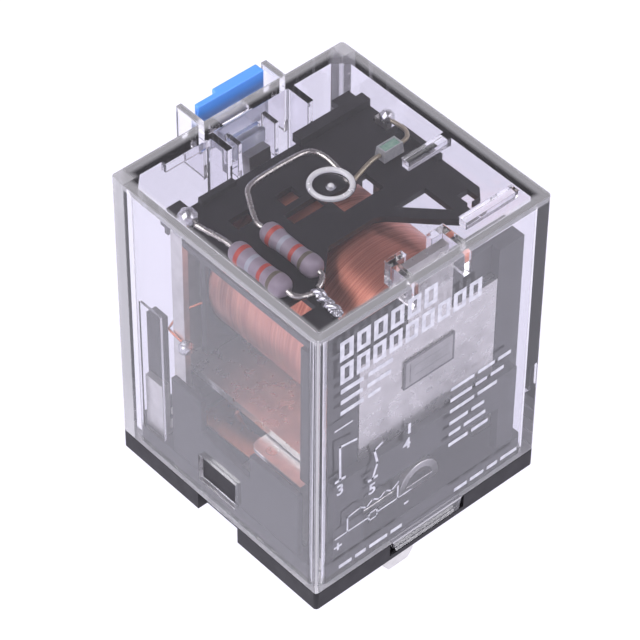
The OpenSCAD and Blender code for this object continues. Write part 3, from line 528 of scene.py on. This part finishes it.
bmesh.ops.scale(bm, vec=((high.x - low.x) * 0.8, (high.y - low.y) * 0.66, lens_thick), verts=bm.verts)
bmesh.ops.translate(bm, vec=(middle.x, middle.y, high.z - lens_thick), verts=bm.verts)
soften(bm, 0.05, 2)
place(bm, "indicator_window", lens_green, "root")
lead_tan = stamped_metal("lead_tan", paint(196, 184, 160), 0.35)
smoothed("indicator_lead", "indicator_leads", lead_tan)

# ---- coil ends ----
# The ends of the winding are bare copper wire, brought out at the rear to the two posts.
# Drops of solder hold them there, with the leads of the resistors and the indicator.
bare_copper = stamped_metal("bare_copper", paint(206, 120, 86), 0.3)
solder_grey = stamped_metal("solder_grey", paint(214, 214, 216), 0.24)
smoothed("coil_wire_a", "coil_end_a", bare_copper)
smoothed("coil_wire_b", "coil_end_b", bare_copper)


def tube(bm, centres, radii, sides=10):
    """A round skin through a line of centres, closed at both ends."""
    rings = []
    for i, (centre, radius) in enumerate(zip(centres, radii)):
        ahead = (centres[min(i + 1, len(centres) - 1)] - centres[max(i - 1, 0)]).normalized()
        across = ahead.cross(Vector((0, 0, 1))).normalized()
        over = across.cross(ahead)
        rings.append([bm.verts.new(centre + (across * math.cos(turn) + over * math.sin(turn)) * radius)
                      for turn in (math.tau * k / sides for k in range(sides))])
    for a, b in zip(rings, rings[1:]):
        for k in range(sides):
            bm.faces.new((a[k], a[(k + 1) % sides], b[(k + 1) % sides], b[k]))
    bm.faces.new(rings[0][::-1])
    bm.faces.new(rings[-1])


def lump(bm, middle, size, rough=0.12):
    """A drop of solder that set unevenly."""
    drop = bmesh.ops.create_icosphere(bm, subdivisions=4, radius=0.5)["verts"]
    for v in drop:
        swell = 1 + rough * noise.noise(v.co * 3.2 + middle / mm) + rough * 0.5 * noise.noise(v.co * 7)
        v.co = middle + Vector(v.co[i] * size[i] for i in range(3)) * swell


# each joint is a loose island of the CAD piece, and its box gives the drop that stands for it
joints = merged("solder_joints")
loose = set(joints.verts)
drops = []
while loose:
    reach = [loose.pop()]
    drop = []
    while reach:
        vert = reach.pop()
        drop.append(vert.co.copy())
        for edge in vert.link_edges:
            beside = edge.other_vert(vert)
            if beside in loose:
                loose.discard(beside)
                reach.append(beside)
    drops.append(sorted(drop, key=lambda co: co.y))
joints.free()
drops.sort(key=lambda drop: (drop[0].x, drop[0].y))
end_reach = 0.9 * mm
twist_turns = 1.6
twist_steps = 28
strand_off = 0.34 * mm
strand_half = 0.38 * mm
solder = bmesh.new()
for drop in drops:
    low = Vector(min(co[i] for co in drop) for i in range(3))
    high = Vector(max(co[i] for co in drop) for i in range(3))
    size = high - low
    if size.y < 1.6 * size.z:
        lump(solder, (low + high) / 2, size)
        continue
    # the two front leads, twisted round each other and flooded with solder
    ends = [sum((co for co in drop if abs(co.y - y) < end_reach), Vector())
            / sum(abs(co.y - y) < end_reach for co in drop) for y in (high.y, low.y)]
    along = ends[1] - ends[0]
    across = along.cross(Vector((0, 0, 1))).normalized()
    over = across.cross(along).normalized()
    for strand in range(2):
        line = []
        for step in range(twist_steps + 1):
            turn = math.pi * strand + math.tau * twist_turns * step / twist_steps
            off = across * math.cos(turn) + over * math.sin(turn)
            line.append(ends[0] + along * (step / twist_steps) + off * strand_off)
        tube(solder, line, [strand_half * (1 + 0.3 * noise.noise(c / mm * 1.5)) for c in line])
    lump(solder, ends[0] + along * 0.25, Vector((1.15, 1.3, 1.0)) * mm, 0.35)
    lump(solder, ends[0] + along * 0.9, Vector((1.35, 1.7, 1.05)) * mm, 0.35)
bmesh.ops.recalc_face_normals(solder, faces=solder.faces)
solder_piece = place(solder, "post_solder", solder_grey, "root", 60)
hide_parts("solder_joints")

# ---- test button ----
# The button has a blue cap on a clear stem and slides in the cover's guides. Pressed,
# it pushes the armature's tongue and closes the contacts.
cap_blue = paint(96, 160, 250)
button_blue, button_shader = new_finish("button_blue", cap_blue, 0.4)
button_shader.inputs["Subsurface Weight"].default_value = 0.15
button_shader.inputs["Subsurface Radius"].default_value = (0.0004, 0.0005, 0.0012)
relief(button_blue, button_shader, speckle(button_blue, 3, 2), 0.01, 0.2)
button_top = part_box("test_button")[1].z
button_rise = measured(button_blue)["Z"]
clear_to, blue_from = button_top - 2.9 * mm, button_top - 2.3 * mm
feed(button_blue, between(button_blue, button_rise, 0.92, 0, clear_to, blue_from),
     button_shader.inputs["Transmission Weight"])
feed(button_blue,
     shades(button_blue, button_rise, paint(214, 216, 226), cap_blue, clear_to, blue_from),
     button_shader.inputs["Base Color"])
rounded("test_button", "button_moulding", button_blue, 0.18, 3)

# ---- cover ----
# The cover is one clear polycarbonate moulding: four walls and a roof, with hooks for
# the yoke's tongue, guides for the button, two latch windows and the ring of its gate.
cover_low, cover_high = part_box("cover")
# the first roughness is for the clear flat faces, the second goes with the painted highlight on the
# cover's edges
clear_rough, highlight_rough = 0.02, 0.25
polycarbonate, clear_shader = new_finish("clear_polycarbonate", (0.9, 0.89, 0.93), clear_rough,
                                         ior=1.54)


def sums(mat, operation, first, second):
    """One sum on two values, or on a value and a number."""
    made = add(mat, "ShaderNodeMath", operation=operation)
    for slot, value in ((0, first), (1, second)):
        if isinstance(value, (int, float)):
            made.inputs[slot].default_value = value
        else:
            feed(mat, value, made.inputs[slot])
    return made.outputs[0]


def both(first, second):
    """One where both masks of the cover are one."""
    return sums(polycarbonate, "MULTIPLY", first, second)


def either(first, second):
    """One where either mask of the cover is one."""
    return sums(polycarbonate, "MAXIMUM", first, second)


def near_edge(axis, half, reach):
    """A mask for the last stretch of the cover before that distance from its middle."""
    off = sums(polycarbonate, "ABSOLUTE", axis, 0)
    return between(polycarbonate, off, 0, 1, half - reach * mm, half - reach * mm * 0.6)


def past(axis, start, stop):
    """A mask that rises to one between two places along an axis, and stays one after."""
    return between(polycarbonate, axis, 0, 1, start, stop)


# polished steel moulds the flat faces; the corners, the rim and a line at the foot are a painted
# highlight: less clear, whiter and rougher, standing for the bright edges of the clear walls
cover_x, cover_y, cover_z = (measured(polycarbonate)[axis] for axis in "XYZ")
half_wide, half_deep = cover_high.x, -cover_low.y
upright = both(near_edge(cover_x, half_wide, 0.35), near_edge(cover_y, half_deep, 0.35))
rear_corner = both(near_edge(cover_x, half_wide, 2.4),
                   past(cover_y, half_deep - 2.3 * mm, half_deep - 2.1 * mm))
rim = both(either(near_edge(cover_x, half_wide, 1.5), near_edge(cover_y, half_deep, 1.5)),
           past(cover_z, cover_high.z - 1.1 * mm, cover_high.z - 0.9 * mm))
foot = both(past(cover_z, cover_low.z + 2.1 * mm, cover_low.z + 1.95 * mm),
            past(cover_z, cover_low.z + 1.6 * mm, cover_low.z + 1.8 * mm))
edge_highlight = either(upright, either(both(rear_corner, 0.75), either(both(rim, 0.6), foot)))
feed(polycarbonate, between(polycarbonate, edge_highlight, 0.985, 0.55, 0, 1),
     clear_shader.inputs["Transmission Weight"])
feed(polycarbonate, between(polycarbonate, edge_highlight, clear_rough, highlight_rough, 0, 1),
     clear_shader.inputs["Roughness"])
relief(polycarbonate, clear_shader, speckle(polycarbonate, 0.25, 2), 0.01, 0.15)
rounded("cover", "clear_cover", polycarbonate, 0.13, 2)

gate_ring, gate_shader = new_finish("gate_ring", (0.86, 0.85, 0.9), 0.2)
gate_shader.inputs["Transmission Weight"].default_value = 0.5
feed(gate_ring, between(gate_ring, speckle(gate_ring, 1), 0.15, 0.3), gate_shader.inputs["Roughness"])
ring_half, ring_thick_half, dot_half = 2.42 * mm, 0.34 * mm, 0.42 * mm
ring = bmesh.new()
ring_stands = Matrix.Translation((ring_half, 0, cover_high.z - 0.2 * mm))
bmesh.ops.create_circle(ring, segments=14, radius=ring_thick_half, cap_ends=False,
                        matrix=ring_stands @ Matrix.Rotation(math.pi / 2, 4, "X"))
bmesh.ops.spin(ring, geom=ring.verts[:] + ring.edges[:], cent=(0, 0, 0), axis=(0, 0, 1),
               dvec=(0, 0, 0), angle=math.tau, steps=48, use_merge=True)
bmesh.ops.create_uvsphere(ring, u_segments=20, v_segments=12, radius=dot_half,
                          matrix=Matrix.Translation((0, 0, cover_high.z - 0.5 * mm)))
bmesh.ops.recalc_face_normals(ring, faces=ring.faces)
place(ring, "gate_ring", gate_ring, "root", 60)

# ---- print ----
# White ink is pad printed on the cover's front face: rows of rating marks, and a diagram
# of the coil and contacts with the terminals' numbers. Plain bars stand for the words.
ink_white, ink_shader = new_finish("print_ink", paint(204, 204, 212), 0.6)
feed(ink_white,
     shades(ink_white, speckle(ink_white, 1.2, 4), paint(190, 190, 200), paint(214, 214, 222)),
     ink_shader.inputs["Base Color"])
ink = bmesh.new()
ink_thick = 0.03
ink_front = cover_low.y - 0.02 * mm
words = random.Random(11)


def ink_line(x0, z0, x1, z1, width=0.22):
    """A straight line of ink between two points of the front face."""
    start, stop = Vector((x0, 0, z0)) * mm, Vector((x1, 0, z1)) * mm
    run = stop - start
    lie = (Matrix.Translation((start + stop) / 2 + Vector((0, ink_front, 0)))
           @ Matrix.Rotation(-math.atan2(run.z, run.x), 4, "Y")
           @ Matrix.Diagonal((run.length + width * mm, ink_thick * mm, width * mm, 1)))
    bmesh.ops.create_cube(ink, size=1, matrix=lie)


def ink_path(points, width=0.22):
    """A line of ink from point to point."""
    for a, b in zip(points, points[1:]):
        ink_line(*a, *b, width)


def ink_row(x0, x1, z, height):
    """A row of short bars, as long as words, from one side to the other."""
    x = x0
    while x < x1 - height:
        length = min(words.uniform(1.2, 3.2) * height, x1 - x - height * 0.5)
        ink_line(x + height * 0.25, z, x + length, z, height * 0.5)
        x += length + height * 0.75


def ink_blocks(x0, x1, z, height, stroke):
    """A row of open blocks the size of capitals."""
    count = round((x1 - x0) / (height * 0.86))
    step = (x1 - x0) / count
    for block in range(count):
        left = x0 + step * block + stroke / 2
        high = height / 2 - stroke / 2
        wide = left + step - stroke * 1.8
        for side in (-1, 1):
            ink_line(left, z + side * high, wide, z + side * high, stroke)
        for x in (left, wide):
            ink_line(x, z - high + stroke, x, z + high - stroke, stroke)


def ink_mark(text, x, z, size=2.3):
    """A number or a sign, centred on a point of the front face."""
    curve = bpy.data.curves.new("mark", "FONT")
    curve.body = text
    curve.size = size * mm
    curve.align_x = "CENTER"
    curve.align_y = "CENTER"
    curve.extrude = ink_thick / 2 * mm
    curve.offset = 0.05 * mm
    holder = bpy.data.objects.new("mark", curve)
    scene.collection.objects.link(holder)
    bpy.context.view_layer.update()
    drawn = holder.evaluated_get(bpy.context.evaluated_depsgraph_get())
    data = bpy.data.meshes.new_from_object(drawn)
    data.transform(Matrix.Translation((x * mm, ink_front, z * mm))
                   @ Matrix.Rotation(math.pi / 2, 4, "X"))
    ink.from_mesh(data)
    bpy.data.objects.remove(holder)
    bpy.data.meshes.remove(data)


ink_blocks(-14.1, 0.6, 40.1, 3.0, 0.62)
ink_blocks(-14.0, 7.4, 36.5, 2.9, 0.6)
for row in range(3):
    ink_row(-13.9, -4.5 - row, 33.9 - 1.7 * row, 1.4 - 0.1 * row)
    ink_row(2.9, 12.5 - row, 22.6 - 1.8 * row, 1.1)
    ink_row(2.9, 9.4, 17 - 1.8 * row, 1.1)
ink_row(-13.8, -3.7, 5.0, 1.1)
ink_row(4.2, 15.6, 4.8, 1.1)
ink_line(-14.6, 28.2, -12.2, 28.2)
# coil with its two terminals
ink_line(-14.4, 10.2, -9.3, 10.2)
ink_line(-8.1, 10.2, -2.9, 10.2)
ink_path([(-9.3, 9.6), (-8.1, 9.6), (-8.1, 10.8), (-9.3, 10.8), (-9.3, 9.6)])
ink_path([(-12.6, 10.2), (-12.6, 12.6), (-10.7, 12.9)])
ink_path([(-10.7 + 0.97 * i, 12.9 - 0.7 * (i % 2)) for i in range(7)])
ink_line(-4.9, 12.2, -4.9, 10.2)
ink_mark("+", -14.0, 8.6)
ink_mark("-", -3.5, 8.6)
# make contact and break contact
ink_path([(-11.5, 24.8), (-13.9, 25.2), (-13.8, 19.8)], 0.32)
ink_path([(-7.6, 21.4), (-8.7, 20.9), (-8.2, 18.6), (-8.9, 16.4)], 0.32)
ink_line(-14.4, 19.8, -13.2, 19.8, 0.4)
ink_line(-9.4, 16.4, -8.3, 16.4, 0.4)
ink_line(-3.4, 21.4, -3.4, 20.2, 0.4)
ink_mark("3", -13.8, 18.1)
ink_mark("5", -8.9, 14.7)
ink_mark("4", -3.7, 18.4)
ink_piece = place(ink, "front_print", ink_white, "root", 30)
